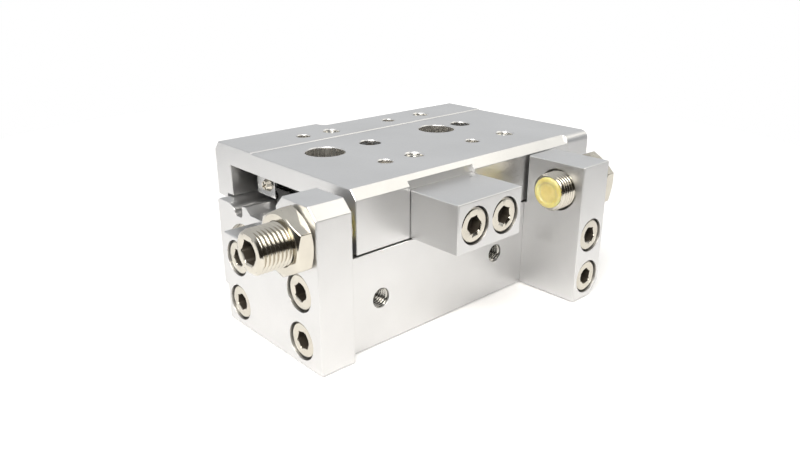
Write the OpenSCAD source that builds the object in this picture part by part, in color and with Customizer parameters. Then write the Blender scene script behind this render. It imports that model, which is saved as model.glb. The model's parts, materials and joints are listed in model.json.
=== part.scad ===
// Pneumatic slide table: twin-bore air cylinder body with a ball guide on top,
// an inverted-U table, and adjustable stops at both ends of the stroke.
// X is the stroke (the table extends towards +X), Y runs from the adjuster side
// (near, -Y) to the plain side (far, +Y), Z is up. Millimetres.
// The origin is on the underside, midway along the body, on the guide's middle plane.

/* [Body] */
// Length of the cylinder body along the stroke
body_l = 80; // [76:0.5:110]
// Guide's middle plane to the near side face
near_half = 32; // [31:0.5:38]
// Guide's middle plane to the body's far side face
far_half = 24.7; // [24.4:0.1:25.4]
// Height of the near shelf that the table's near wall runs over
shelf_z = 24.2; // [24:0.1:24.6]
// Height of the far lip that the table's far wall runs over
lip_z = 25.5; // [24.8:0.1:26]
// Height of the seat that the rail is screwed to
rail_seat_z = 24.5; // [24:0.1:25]
// Height of the two ridges beside the rail seat
ridge_z = 26.2; // [25.4:0.1:26.6]
// Width of each sensor groove
groove_w = 3.9; // [3:0.1:5]
// Floor height of each sensor groove
groove_z = 22.7; // [22.4:0.1:24]
// Middle plane to the centre of each sensor groove
groove_y = 13.8; // [13.2:0.1:15]

/* [Air cylinders] */
// Bore diameter
bore_d = 16; // [12:0.5:16.5]
// Middle plane to the near bore's axis
bore_near = 14; // [13.5:0.1:14.2]
// Distance between the two bores
bore_pitch = 25.5; // [25:0.5:28]
// Height of the bores' axes above the underside
bore_z = 12; // [11:0.1:12.4]
// Diameter of the head end recess that holds the head cap
head_recess_d = 18; // [17:0.5:18.5]
// Depth of the head end recess
head_recess_l = 7; // [6:0.5:9]
// Piston rod diameter
rod_d = 6; // [5:0.5:8]
// Piston length
piston_l = 12; // [10:0.5:16]
// Piston rear face to the head cap when the table is back
head_gap = 7; // [4:0.5:10]
// Length of each rod cover
rod_cover_l = 21; // [14:0.5:24]
// Diameter of the air port thread
port_d = 5; // [4:0.5:6]
// Rear face of the body to the head end port
port_rear = 10.3; // [10:0.1:14]
// Front face of the body to the rod end port
port_front = 28.9; // [28:0.1:36]
// Diameter of the passage that joins the two bores at each port
passage_d = 3; // [2:0.5:4]

/* [Table] */
// Body's rear face to the table's rear end, table back
table_setback = 3.3; // [2.5:0.1:8]
// Body's front face to the end plate, table back
end_gap = 1.1; // [0.5:0.1:4]
// Middle plane to the table's far side in its rear part
table_far = 30; // [28:0.5:34]
// Depth of the step between the raised band and the main top face
top_step = 0.3; // [0.1:0.1:1]
// Middle plane to that step
top_step_y = 10.9; // [9:0.1:14]
// Thickness of the top plate
top_t = 5.65; // [5:0.05:9]
// Thickness of the two side walls
wall_t = 7.9; // [6.5:0.1:9]
// Width of the bevel along the table's long top edges
bevel_y = 2; // [0.5:0.1:3]
// Height of the bevel along the table's long top edges
bevel_z = 2.4; // [0.5:0.1:3]
// Table's rear end to the jog where the far side steps in
jog_inset = 33.2; // [30:0.1:38]
// Thickness of the far wall past the jog
front_wall_t = 7.9; // [6:0.1:8]
// Inside corner radius of the jog
jog_r = 2.5; // [1:0.1:4]
// Clearance between the table's walls and the body
skirt_gap = 0.4; // [0.35:0.05:0.6]
// Thickness of the end plate
end_t = 10.15; // [9:0.05:14]
// Height of the end plate's lower edge above the underside
end_foot = 0.8; // [0.5:0.1:2]
// Corner radius of the end plate
end_r = 2.4; // [1:0.1:4]

/* [Table hole patterns] */
// Table's rear end to the first column of threads
tap_inset = 31; // [29:0.5:32]
// Spacing of the threads along the stroke
tap_pitch = 36; // [34:0.5:38]
// Spacing of the threads and dowel holes across the stroke
row_pitch = 35.2; // [34:0.1:38]
// Thread diameter of the table's threads
tap_d = 5; // [4:0.5:6]
// Table's rear end to the first column of dowel holes
dowel_inset = 21.2; // [19:0.1:23]
// Spacing of the dowel holes along the stroke
dowel_pitch = 32; // [30:0.5:34]
// Dowel hole diameter
dowel_d = 4; // [3:0.5:5]
// Depth of the dowel holes
dowel_depth = 4; // [3:0.5:5]
// Body's rear face to the first mounting bolt hole
mount_inset = 19; // [18:0.5:22]
// Spacing of the mounting bolt holes
mount_pitch = 41; // [38:0.5:42]
// Bolt clearance of the mounting holes
mount_d = 5.2; // [4.2:0.1:5.6]
// Diameter of the access holes through the table
access_d = 10.6; // [10:0.1:12]

/* [Ball guide] */
// Width of the rail
rail_w = 15; // [14:0.5:15.5]
// Height of the rail
rail_h = 6.1; // [5.6:0.1:6.4]
// Rear face of the body to the rail
rail_rear = 8; // [3:0.1:10]
// Front face of the body to the rail
rail_front = 0.8; // [0.3:0.1:3]
// Height of the whole guide, from the rail seat to the table's underside
guide_h = 10; // [9:0.1:12]
// Width of each leg of the guide block
leg_w = 8.6; // [8:0.1:8.8]
// Underside of the guide block's legs above the rail seat
leg_lift = 2.4; // [2.2:0.1:2.6]
// Clearance between rail and guide block
guide_gap = 0.3; // [0.3:0.05:0.4]
// Table's rear end to the guide's rear cover plates
guide_rear = 4.7; // [3:0.1:6]
// Table's front end to the guide's front cover plates
guide_front = 1.8; // [1.5:0.1:4]
// Length of each return cap
cap_l = 4; // [3:0.5:6]
// Thickness of each cover plate
cover_t = 0.8; // [0.5:0.1:1.2]
// Ball diameter
ball_d = 2.4; // [2:0.1:2.5]
// Balls in each row
ball_n = 20; // [8:1:22]
// Height of the ball tracks above the rail seat
track_lift = 4; // [3.9:0.1:4.2]

/* [Stops] */
// Travel between the two stops as set
travel = 16.5; // [14:0.1:17]
// Clearance left at each stop
stop_gap = 0.1; // [0.05:0.05:0.3]
// Thickness of the rear stop block along the stroke
rear_t = 9.5; // [8:0.1:12]
// How far the rear block stands out past the near side
rear_out = 2.8; // [2:0.1:4]
// Rear block's inner screws to its inner side
rear_edge = 5.6; // [5:0.1:7]
// Width of the rear block's raised part
rear_post_w = 14.9; // [14:0.1:17]
// Height of the rear block's low part
rear_low_z = 23.6; // [22.8:0.1:24]
// Height of the rear block's raised part
rear_z = 39.2; // [37:0.1:40]
// Bevel on the raised part's two top edges
rear_bevel = 2.7; // [1:0.1:3]
// Length of the front stop block along the stroke
front_t = 11.1; // [10:0.1:13]
// Front face of the body to the front stop block
front_inset = 6.2; // [4:0.1:8]
// How far the front block stands out from the body
front_w = 18.3; // [18:0.1:21]
// Height of the front block
front_z = 37.5; // [36.5:0.1:39]
// Bevel on the front block's lower front edge
front_bevel = 3.5; // [1:0.1:4]
// How far the front bumper's tip stands out of the front block
front_reach = 4.6; // [3.5:0.1:6]
// Gap between the front block and the moving table
front_relief = 0.8; // [0.4:0.1:1.5]
// Length of the stopper along the stroke
stopper_l = 21.9; // [20:0.1:24]
// How far the stopper stands out from the table's side
stopper_w = 15.3; // [13:0.1:16]
// Height of the stopper
stopper_h = 12; // [11:0.1:13]
// Depth of the seat milled into the table for the stopper
seat_depth = 0.9; // [0.5:0.1:1.5]
// Spacing of the stopper's two screws
stopper_pitch = 10.4; // [9.6:0.1:11.5]

/* [Adjusters] */
// Thread diameter of the adjuster bolts
adj_d = 10; // [8:0.5:10.5]
// Height of the rear adjuster's axis
rear_adj_z = 30.7; // [30:0.1:31.5]
// Height of the front adjuster's axis
front_adj_z = 30.1; // [29.5:0.1:31]
// Near side face to the rear adjuster's axis, inwards
rear_adj_in = 4.8; // [4:0.1:5.5]
// Near side face to the front adjuster's axis, outwards
front_adj_out = 10.5; // [9.5:0.1:11]
// Length of the rear adjuster bolt
rear_adj_l = 23.6; // [21:0.1:29]
// Length of the front adjuster bolt
front_adj_l = 20.6; // [19:0.1:24]
// Width across flats of the lock nuts
nut_af = 14; // [13:0.5:15]
// Thickness of the lock nuts
nut_t = 4.3; // [3:0.1:6]
// Width across flats of the adjusters' sockets
adj_socket = 5; // [4:0.5:6]
// Diameter of the urethane bumpers
bumper_d = 8.2; // [7:0.1:8.6]
// How far each bumper stands out of its bolt
bumper_out = 0.7; // [0.6:0.1:2]

/* [Screws] */
// Thread diameter of the block and stopper screws
screw_d = 5; // [4:0.5:5]
// Head diameter of those screws
head_d = 8.5; // [7:0.1:8.8]
// Head height of those screws
head_h = 5; // [4:0.5:5.5]
// Width across flats of their sockets
socket_af = 4; // [3:0.5:4.5]
// Counterbore diameter for those screws
cbore_d = 9.2; // [9:0.1:10]
// Depth of those screws' heads below the surface
head_sink = 0.4; // [0:0.1:0.6]
// Thread length of those screws beyond the block they hold
bite = 7; // [5:0.5:8]
// Vertical spacing of the screws in both stop blocks
screw_rise = 12; // [11:0.1:13]
// Horizontal spacing of the rear block's screws
rear_pitch = 26.4; // [25.5:0.1:27]
// Thread diameter of the small screws
small_d = 3; // [2.5:0.5:3]

/* [Fits] */
// Radial clearance of pieces that slide or turn in a hole
run_fit = 0.05; // [0.01:0.01:0.09]
// Radial clearance of pieces that stay put in a hole
seat_fit = 0.03; // [0.01:0.01:0.09]
// Radial clearance of a screw and its head in their holes
bolt_fit = 0.25; // [0.15:0.05:0.3]

/* [Hidden] */
$fn = 64;
eps = 0.01;
over = 1;
blind_end = 1.5;

// Screw details
clear_d = screw_d + 2 * bolt_fit;
small_clear_d = small_d + 2 * bolt_fit;
small_head_d = small_d * 1.83;
small_head_h = small_d;
small_af = small_d * 0.83;
small_cbore_d = small_head_d + 2 * bolt_fit;
small_sink = 0.2;

// Body faces and bore places
body_x0 = -body_l / 2;
body_x1 = body_l / 2;
bore_ys = [-bore_near, bore_pitch - bore_near];
port_xs = [body_x0 + port_rear, body_x1 - port_front];
mount_xs = [body_x0 + mount_inset, body_x0 + mount_inset + mount_pitch];
ridge_y1 = groove_y - groove_w / 2;
ridge_w = 1.7;
ridge_slope = 2.2;
shoulder_w = 4.2;
edge_r = 1.2;
groove_r = 1.1;
mount_cbore_d = 9.5;
foot_dowel_out = 8;
foot_dowel_xs = [mount_xs[0] - foot_dowel_out, mount_xs[1] + foot_dowel_out];
foot_dowel_d = 4;
foot_dowel_depth = 4;
edge_break = 0.2;
ridge_fall = 0.2;

// Table faces
table_x0 = body_x0 + table_setback;
table_x1 = body_x1 + end_gap;
table_l = table_x1 - table_x0;
ceiling_z = rail_seat_z + guide_h;
table_z = ceiling_z + top_t;
main_z = table_z - top_step;
jog_x = table_x0 + jog_inset;
skirt_z = shelf_z + skirt_gap;
over_lip_z = lip_z + skirt_gap;
tap_xs = [table_x0 + tap_inset, table_x0 + tap_inset + tap_pitch];
dowel_xs = [table_x0 + dowel_inset, table_x0 + dowel_inset + dowel_pitch];
row_ys = [-row_pitch / 2, row_pitch / 2];
tap_bevel = 0.4;
hole_bevel = 0.3;
seat_side = 0.15;
jog_margin = 5;

// Ball guide
rail_top = rail_seat_z + rail_h;
track_z = rail_seat_z + track_lift;
leg_y0 = rail_w / 2 + guide_gap;
leg_y1 = leg_y0 + leg_w;
leg_z = rail_seat_z + leg_lift;
web_gap = 0.4;
web_z = rail_top + web_gap;
guide_x0 = table_x0 + guide_rear + cover_t + cap_l;
guide_x1 = table_x1 - guide_front - cover_t - cap_l;
ball_y = rail_w / 2 + guide_gap / 2;
return_y = leg_y0 + leg_w * 0.62;
ball_gap = 0.05;
cap_inset = 0.1;
cap_inner_y = leg_y0 + cap_inset;
cap_top_gap = 0.3;
plate_trim = 0.4;
rail_end = 5;
rail_bite = 4;
rail_screw_xs = concat(
    [for (share = [0.25, 0.5, 0.75]) body_x0 + mount_inset + mount_pitch * share],
    [body_x1 - rail_front - rail_end]
);
guide_screw_sink = 0.6;
guide_screw_seat_z = main_z - small_head_h - guide_screw_sink;
guide_screw_end = 0.2;
cover_screw_y = (cap_inner_y + leg_y1) / 2 - 1;
cover_screw_z = track_z + 2;
cover_screw_d = 2;
cover_screw_bite = 3;
cover_head_d = 3.6;
cover_head_t = 1.2;
cross_slot_w = 0.5;
cross_slot_l = 2.2;

// Stops
near_y = -near_half;
front_x1 = body_x1 - front_inset;
front_x0 = front_x1 - front_t;
front_y0 = near_y - front_w;
front_tip_x = front_x0 - front_reach;
stopper_x1 = front_tip_x - stop_gap - travel;
stopper_x = stopper_x1 - stopper_l;
stopper_seat_y = near_y + seat_depth;
stopper_bite = wall_t - seat_depth - over;
stopper_mid_z = skirt_z + stopper_h / 2;
stopper_xs = [stopper_x + (stopper_l - stopper_pitch) / 2, stopper_x + (stopper_l + stopper_pitch) / 2];
rear_x1 = body_x0;
rear_x0 = body_x0 - rear_t;
rear_y0 = near_y - rear_out;
rear_screw_ys = [bore_ys[0] - rear_pitch / 2, bore_ys[0] + rear_pitch / 2];
rear_y1 = rear_screw_ys[1] + rear_edge;
rear_post_y1 = rear_y0 + rear_post_w;
screw_zs = [bore_z - screw_rise / 2, bore_z + screw_rise / 2];

// Adjusters
rear_adj_y = near_y + rear_adj_in;
front_adj_y = near_y - front_adj_out;
rear_tip_x = table_x0 - stop_gap;
bumper_stem_d = 5;
bumper_stem_l = 4;
bumper_edge = 0.4;
bumper_rim_w = 1.2;
stem_end_gap = 0.3;
dish_depth = 0.35;
dish_slope = 0.3;
bolt_edge = 0.6;
adj_mouth_w = 0.6;
adj_mouth_l = 1;
socket_depth = 5;
rear_nut_turn = -3;
front_nut_turn = 6;

// Air cylinders
head_cap_t = 4.5;
cap_x1 = body_x0 + head_recess_l;
cap_x0 = cap_x1 - head_cap_t;
ring_t = 1;
ring_bite = 0.5;
piston_x0 = cap_x1 + head_gap;
piston_x1 = piston_x0 + piston_l;
piston_nut_t = 2.2;
piston_nut_af = 7;
rod_spigot_d = 4;
rod_cover_inset = 3;
rod_cover_x1 = body_x1 - rod_cover_inset;
rod_cover_x0 = rod_cover_x1 - rod_cover_l;
rod_seal_l = 2.5;
rod_seal_d = rod_d + 4;
bumper_ring_l = 2;
bumper_ring_d = bore_d - 4;
snap_w = 2.5;
snap_opening = 3;
oring_d = 1.4;
cap_oring_x = cap_x0 + 1.5;
cover_oring_x = rod_cover_x0 + 5;
seal_w = 2;
magnet_w = 3;
magnet_d = bore_d - 3;
groove_floor_d = bore_d - 5;
seal_x = piston_x1 - 4;
magnet_x = piston_x0 + 2;

// Rod ends: each rod pushes on the end plate's web and is held to it by a bush and a screw
end_plate_x1 = table_x1 + end_t;
rod_pocket = 1.5;
rod_end_x = table_x1 + rod_pocket;
rod_hole_d = rod_d + 0.6;
bush_t = 2;
bush_d = 9.6;
bush_hole_d = bush_d + 0.8;
hub_d = 4.6;
hub_hole_d = hub_d + 0.4;
float_gap = 0.05;
rod_screw_sink = 1.6;
web_x1 = end_plate_x1 - rod_screw_sink - small_d - bush_t - float_gap;
rod_screw_bite = 7;

// End plate screws
end_screw_ys = [near_y + wall_t / 2, far_half - front_wall_t / 2];
end_screw_edge = 4.4;
end_screw_zs = [skirt_z + end_screw_edge, main_z - end_screw_edge];
end_screw_bite = 8;

// Extrudes a (Y, Z) outline from x0 to x1
module along_x(x0, x1) {
    translate([x0, 0, 0])
        rotate([90, 0, 90])
            linear_extrude(x1 - x0)
                children();
}

// Extrudes an (X, Z) outline from y0 to y1
module along_y(y0, y1) {
    translate([0, y1, 0])
        rotate([90, 0, 0])
            linear_extrude(y1 - y0)
                children();
}

// Round bar on an axis parallel to X
module bar_x(x0, x1, y, z, d) {
    translate([x0, y, z])
        rotate([0, 90, 0])
            cylinder(d = d, h = x1 - x0);
}

// Round bar on an axis parallel to Y
module bar_y(y0, y1, x, z, d) {
    translate([x, y1, z])
        rotate([90, 0, 0])
            cylinder(d = d, h = y1 - y0);
}

// Round bar on an axis parallel to Z
module bar_z(z0, z1, x, y, d) {
    translate([x, y, z0])
        cylinder(d = d, h = z1 - z0);
}

// Ring between two diameters on an axis parallel to X
module ring_x(x0, x1, y, z, d_out, d_in) {
    difference() {
        bar_x(x0, x1, y, z, d_out);
        bar_x(x0 - eps, x1 + eps, y, z, d_in);
    }
}

// A path of points with its first point added again at the end
function closed(points) = concat(points, [points[0]]);

// Rectangle from corner to corner with its four corners cut off by the edge break
module trimmed(x0, y0, x1, y1) {
    c = edge_break;
    polygon([
        [x0 + c, y0], [x1 - c, y0], [x1, y0 + c], [x1, y1 - c], [x1 - c, y1], [x0 + c, y1],
        [x0, y1 - c], [x0, y0 + c]
    ]);
}

// Breaks the edge where the plane at x meets the lines of a (Y, Z) path
module break_end(x, path) {
    side = edge_break * sqrt(2);
    for (i = [1 : len(path) - 1]) {
        run = path[i] - path[i - 1];
        translate([x, path[i - 1][0], path[i - 1][1]])
            rotate([atan2(run[1], run[0]), 0, 0])
                translate([0, norm(run) / 2, 0])
                    rotate([0, 45, 0])
                        cube([side, norm(run), side], center = true);
    }
}

// Breaks the edge where the plane at y meets the lines of an (X, Z) path
module break_side(y, path) {
    side = edge_break * sqrt(2);
    for (i = [1 : len(path) - 1]) {
        run = path[i] - path[i - 1];
        translate([path[i - 1][0], y, path[i - 1][1]])
            rotate([0, -atan2(run[1], run[0]), 0])
                translate([norm(run) / 2, 0, 0])
                    rotate([45, 0, 0])
                        cube([norm(run), side, side], center = true);
    }
}

// Hexagonal prism on the Z axis
module hex_z(z0, z1, af) {
    translate([0, 0, z0])
        cylinder(d = af / cos(30), h = z1 - z0, $fn = 6);
}

// Socket head cap screw on the Z axis, head above z = 0 and shank below
module cap_screw(d, d_head, h_head, af, shank) {
    rim = d_head * 0.05;
    difference() {
        union() {
            cylinder(d = d_head, h = h_head - rim);
            translate([0, 0, h_head - rim])
                cylinder(d1 = d_head, d2 = d_head - 2 * rim, h = rim);
            translate([0, 0, -shank])
                cylinder(d = d, h = shank + eps);
        }
        hex_z(h_head * 0.5, h_head + eps, af);
    }
}

// Small cap screw of the size that the guide and the end plate use
module small_screw(shank) {
    cap_screw(small_d, small_head_d, small_head_h, small_af, shank);
}

// Puts a screw's seat at (x, y, z) with its head towards -X
module head_to_minus_x(x, y, z) {
    translate([x, y, z])
        rotate([0, -90, 0])
            children();
}

// Puts a screw's seat at (x, y, z) with its head towards +X
module head_to_plus_x(x, y, z) {
    translate([x, y, z])
        rotate([0, 90, 0])
            children();
}

// Puts a screw's seat at (x, y, z) with its head towards -Y
module head_to_minus_y(x, y, z) {
    translate([x, y, z])
        rotate([90, 0, 0])
            children();
}

// Points of an arc from angle a0 to a1 with separate radii
function arc(cx, cy, rx, ry, a0, a1, n = 8) =
    [for (i = [0 : n]) let (a = a0 + (a1 - a0) * i / n) [cx + rx * cos(a), cy + ry * sin(a)]];

// One half of the body's upper outline, from the side inwards, for a shelf at height top_z
function upper_half(half, top_z, corner_r) =
    let (outer = groove_y + groove_w / 2, inner = ridge_y1, drop = top_z - groove_z - groove_r)
    concat(
        arc(half - corner_r, top_z - corner_r, corner_r, corner_r, 0, 90, 5),
        arc(outer + shoulder_w, groove_z + groove_r, shoulder_w, drop, 90, 180, 8),
        arc(outer - groove_r, groove_z + groove_r, groove_r, groove_r, 0, -90, 4),
        arc(inner + groove_r, groove_z + groove_r, groove_r, groove_r, -90, -180, 4),
        [[inner, ridge_z - ridge_fall], [inner - ridge_w, ridge_z],
         [inner - ridge_w - ridge_slope, rail_seat_z]]
    );

function mirrored(points) = [for (i = [len(points) - 1 : -1 : 0]) [-points[i][0], points[i][1]]];

module body_outline() {
    polygon(concat(
        [[near_y, edge_break], [near_y + edge_break, 0], [far_half - edge_break, 0],
         [far_half, edge_break]],
        upper_half(far_half, lip_z, edge_r),
        mirrored(upper_half(near_half, shelf_z, edge_break))
    ));
}

// Removes both bores' stepped holes and the air passages
module bore_cuts() {
    for (y = bore_ys) {
        bar_x(body_x0 - eps, body_x1 + eps, y, bore_z, bore_d);
        bar_x(body_x0 - eps, cap_x1, y, bore_z, head_recess_d);
        bar_x(cap_x0 - ring_t, cap_x0, y, bore_z, head_recess_d + 2 * ring_bite);
        bar_x(rod_cover_x1, rod_cover_x1 + ring_t, y, bore_z, bore_d + 2 * ring_bite);
    }
    for (x = port_xs) {
        bar_y(near_y - eps, bore_ys[0], x, bore_z, port_d);
        bar_y(bore_ys[0], bore_ys[1], x, bore_z, passage_d);
    }
}

// Holes that the body's own fasteners and its mounting bolts use
module body_fastener_cuts() {
    for (y = rear_screw_ys, z = screw_zs)
        bar_x(body_x0 - eps, body_x0 + bite + blind_end, y, z, screw_d + 2 * seat_fit);
    for (z = screw_zs)
        bar_y(near_y - eps, near_y + bite + blind_end, front_x0 + front_t / 2, z,
              screw_d + 2 * seat_fit);
    for (x = mount_xs)
        bar_z(-eps, ridge_z + eps, x, 0, mount_d);
    for (x = rail_screw_xs)
        bar_z(rail_seat_z - rail_bite - blind_end, rail_seat_z + eps, x, 0, small_d + 2 * seat_fit);
    for (x = foot_dowel_xs)
        bar_z(-eps, foot_dowel_depth, x, 0, foot_dowel_d);
}

module cylinder_body() {
    color("gainsboro")
        difference() {
            along_x(body_x0, body_x1)
                body_outline();
            bore_cuts();
            body_fastener_cuts();
            for (x = [body_x0, body_x1])
                break_end(x, [
                    [near_y, shelf_z - edge_break], [near_y, edge_break], [near_y + edge_break, 0],
                    [far_half - edge_break, 0], [far_half, edge_break], [far_half, lip_z - edge_r]
                ]);
        }
}

// Ball track cross-sections on both sides of the rail
module track_cuts(x0, x1) {
    for (side = [-1, 1])
        bar_x(x0 - eps, x1 + eps, side * ball_y, track_z, ball_d + 2 * ball_gap);
}

module guide_rail() {
    x0 = body_x0 + rail_rear;
    x1 = body_x1 - rail_front;
    color("lightslategray")
        difference() {
            translate([x0, -rail_w / 2, rail_seat_z])
                cube([x1 - x0, rail_w, rail_h]);
            track_cuts(x0, x1);
            for (x = mount_xs) {
                bar_z(rail_seat_z - eps, rail_top + eps, x, 0, mount_d);
                bar_z(rail_top - head_h, rail_top + eps, x, 0, mount_cbore_d);
            }
            for (x = rail_screw_xs) {
                bar_z(rail_seat_z - eps, rail_top + eps, x, 0, small_clear_d);
                bar_z(rail_top - small_head_h - small_sink, rail_top + eps, x, 0, small_cbore_d);
            }
        }
}

module rail_screws() {
    seat_z = rail_top - small_head_h - small_sink;
    color("dimgray")
        for (x = rail_screw_xs)
            translate([x, 0, seat_z])
                small_screw(seat_z - rail_seat_z + rail_bite);
}

module head_caps() {
    color("darkgray")
        for (y = bore_ys)
            difference() {
                bar_x(cap_x0, cap_x1, y, bore_z, head_recess_d - 2 * seat_fit);
                ring_x(cap_oring_x, cap_oring_x + oring_d, y, bore_z, head_recess_d + over,
                       head_recess_d - 2 * oring_d);
            }
}

module head_cap_orings() {
    color("black")
        for (y = bore_ys)
            ring_x(cap_oring_x + seat_fit, cap_oring_x + oring_d - seat_fit, y, bore_z,
                   head_recess_d - seat_fit, head_recess_d - 2 * oring_d + seat_fit);
}

// Open retaining ring in its groove at x0, on an axis parallel to X
module snap_ring(x0, y, groove_d) {
    d_out = groove_d - 2 * seat_fit;
    difference() {
        ring_x(x0 + seat_fit, x0 + ring_t - seat_fit, y, bore_z, d_out, d_out - 2 * snap_w);
        translate([x0 - eps, y - snap_opening / 2, bore_z])
            cube([ring_t + 2 * eps, snap_opening, d_out]);
    }
}

module head_cap_rings() {
    color("slategray")
        for (y = bore_ys)
            snap_ring(cap_x0 - ring_t, y, head_recess_d + 2 * ring_bite);
}

module rod_covers() {
    color("goldenrod")
        for (y = bore_ys)
            difference() {
                bar_x(rod_cover_x0, rod_cover_x1, y, bore_z, bore_d - 2 * seat_fit);
                bar_x(rod_cover_x0 - eps, rod_cover_x1 + eps, y, bore_z, rod_d + 2 * run_fit);
                bar_x(rod_cover_x1 - rod_seal_l, rod_cover_x1 + eps, y, bore_z, rod_seal_d);
                ring_x(cover_oring_x, cover_oring_x + oring_d, y, bore_z, bore_d + over,
                       bore_d - 2 * oring_d);
            }
}

module rod_cover_orings() {
    color("black")
        for (y = bore_ys)
            ring_x(cover_oring_x + seat_fit, cover_oring_x + oring_d - seat_fit, y, bore_z,
                   bore_d - seat_fit, bore_d - 2 * oring_d + seat_fit);
}

module rod_seals() {
    color("black")
        for (y = bore_ys)
            ring_x(rod_cover_x1 - rod_seal_l, rod_cover_x1 - seat_fit, y, bore_z,
                   rod_seal_d - 2 * seat_fit, rod_d + 2 * run_fit);
}

module rod_cover_rings() {
    color("slategray")
        for (y = bore_ys)
            snap_ring(rod_cover_x1, y, bore_d + 2 * ring_bite);
}

module rod_bumpers() {
    color("darkolivegreen")
        for (y = bore_ys)
            ring_x(rod_cover_x0 - bumper_ring_l, rod_cover_x0, y, bore_z, bumper_ring_d,
                   rod_d + 2 * run_fit);
}

// Outline of the L-shaped rear block, its raised part bevelled on both top edges
function rear_block_points() =
    let (c = edge_break)
    [[rear_y0, c], [rear_y0 + c, 0], [rear_y1 - c, 0], [rear_y1, c],
     [rear_y1, rear_low_z - c], [rear_y1 - c, rear_low_z], [rear_post_y1, rear_low_z],
     [rear_post_y1, rear_z - rear_bevel], [rear_post_y1 - rear_bevel, rear_z],
     [rear_y0 + rear_bevel, rear_z], [rear_y0, rear_z - rear_bevel]];

module rear_stop_block() {
    color("gainsboro")
        difference() {
            along_x(rear_x0, rear_x1)
                polygon(rear_block_points());
            for (x = [rear_x0, rear_x1])
                break_end(x, closed(rear_block_points()));
            for (y = rear_screw_ys, z = screw_zs) {
                bar_x(rear_x0 - eps, rear_x1 + eps, y, z, clear_d);
                bar_x(rear_x0 - eps, rear_x0 + head_h + head_sink, y, z, cbore_d);
            }
            bar_x(rear_x0 - eps, rear_x1 + eps, rear_adj_y, rear_adj_z, adj_d + 2 * run_fit);
        }
}

module rear_block_screws() {
    seat_x = rear_x0 + head_h + head_sink;
    color("silver")
        for (y = rear_screw_ys, z = screw_zs)
            head_to_minus_x(seat_x, y, z)
                cap_screw(screw_d, head_d, head_h, socket_af, rear_x1 - seat_x + bite);
}

// Hexagonal lock nut on the Z axis from z = 0 up, both faces' corners chamfered
module lock_nut() {
    corner_d = nut_af / cos(30);
    face_d = nut_af * 0.95;
    slope = (corner_d - face_d) / 2 * tan(30);
    difference() {
        intersection() {
            hex_z(0, nut_t, nut_af);
            union() {
                cylinder(d1 = face_d, d2 = corner_d, h = slope);
                translate([0, 0, slope])
                    cylinder(d = corner_d + eps, h = nut_t - 2 * slope);
                translate([0, 0, nut_t - slope])
                    cylinder(d1 = corner_d, d2 = face_d, h = slope);
            }
        }
        translate([0, 0, -eps])
            cylinder(d = adj_d + 2 * run_fit, h = nut_t + 2 * eps);
    }
}

module rear_lock_nut() {
    color("silver")
        head_to_minus_x(rear_x0, rear_adj_y, rear_adj_z)
            rotate(rear_nut_turn)
                lock_nut();
}

// Adjuster bolt on the Z axis: bumper end at z = 0, hex socket in the far end
module adjuster_bolt(length) {
    difference() {
        union() {
            cylinder(d1 = adj_d - 2 * bolt_edge, d2 = adj_d, h = bolt_edge);
            translate([0, 0, bolt_edge])
                cylinder(d = adj_d, h = length - 2 * bolt_edge);
            translate([0, 0, length - bolt_edge])
                cylinder(d1 = adj_d, d2 = adj_d - 2 * bolt_edge, h = bolt_edge);
        }
        translate([0, 0, -eps])
            cylinder(d = bumper_stem_d + 2 * run_fit, h = bumper_stem_l + stem_end_gap);
        hex_z(length - socket_depth, length + eps, adj_socket);
    }
}

// Urethane bumper on the Z axis: dished face at z = -bumper_out, stem up into the bolt
module bumper() {
    dish_d = bumper_d - 2 * bumper_rim_w;
    difference() {
        union() {
            translate([0, 0, -bumper_out])
                cylinder(d1 = bumper_d - 2 * bumper_edge, d2 = bumper_d, h = bumper_edge);
            translate([0, 0, -bumper_out + bumper_edge])
                cylinder(d = bumper_d, h = bumper_out - bumper_edge - run_fit);
            translate([0, 0, -run_fit - eps])
                cylinder(d = bumper_stem_d, h = bumper_stem_l);
        }
        translate([0, 0, -bumper_out - eps])
            cylinder(d1 = dish_d + 2 * dish_slope, d2 = dish_d, h = dish_depth);
    }
}

module rear_adjuster_bolt() {
    color("silver")
        head_to_minus_x(rear_tip_x - bumper_out, rear_adj_y, rear_adj_z)
            adjuster_bolt(rear_adj_l);
}

module rear_bumper() {
    color("khaki")
        head_to_minus_x(rear_tip_x - bumper_out, rear_adj_y, rear_adj_z)
            bumper();
}

// Side view of the front block, its lower front corner cut off
function front_block_points() =
    let (c = edge_break)
    [[front_x0, c], [front_x0 + c, 0], [front_x1 - front_bevel, 0], [front_x1, front_bevel],
     [front_x1, front_z - c], [front_x1 - c, front_z], [front_x0 + c, front_z],
     [front_x0, front_z - c]];

module front_stop_block() {
    screw_x = front_x0 + front_t / 2;
    color("gainsboro")
        difference() {
            along_y(front_y0, near_y)
                polygon(front_block_points());
            break_side(front_y0, closed(front_block_points()));
            translate([front_x0 - eps, near_y - front_relief, shelf_z])
                cube([front_t + 2 * eps, front_relief + eps, front_z]);
            for (z = screw_zs) {
                bar_y(front_y0 - eps, near_y + eps, screw_x, z, clear_d);
                bar_y(front_y0 - eps, front_y0 + head_h + head_sink, screw_x, z, cbore_d);
            }
            bar_x(front_x0 - eps, front_x1 + eps, front_adj_y, front_adj_z, adj_d + 2 * run_fit);
            translate([front_x0 - eps, front_adj_y, front_adj_z])
                rotate([0, 90, 0])
                    cylinder(d1 = adj_d + 2 * adj_mouth_w, d2 = adj_d, h = adj_mouth_l);
        }
}

module front_block_screws() {
    seat_y = front_y0 + head_h + head_sink;
    color("silver")
        for (z = screw_zs)
            head_to_minus_y(front_x0 + front_t / 2, seat_y, z)
                cap_screw(screw_d, head_d, head_h, socket_af, near_y - seat_y + bite);
}

module front_lock_nut() {
    color("silver")
        head_to_plus_x(front_x1, front_adj_y, front_adj_z)
            rotate(front_nut_turn)
                lock_nut();
}

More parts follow.
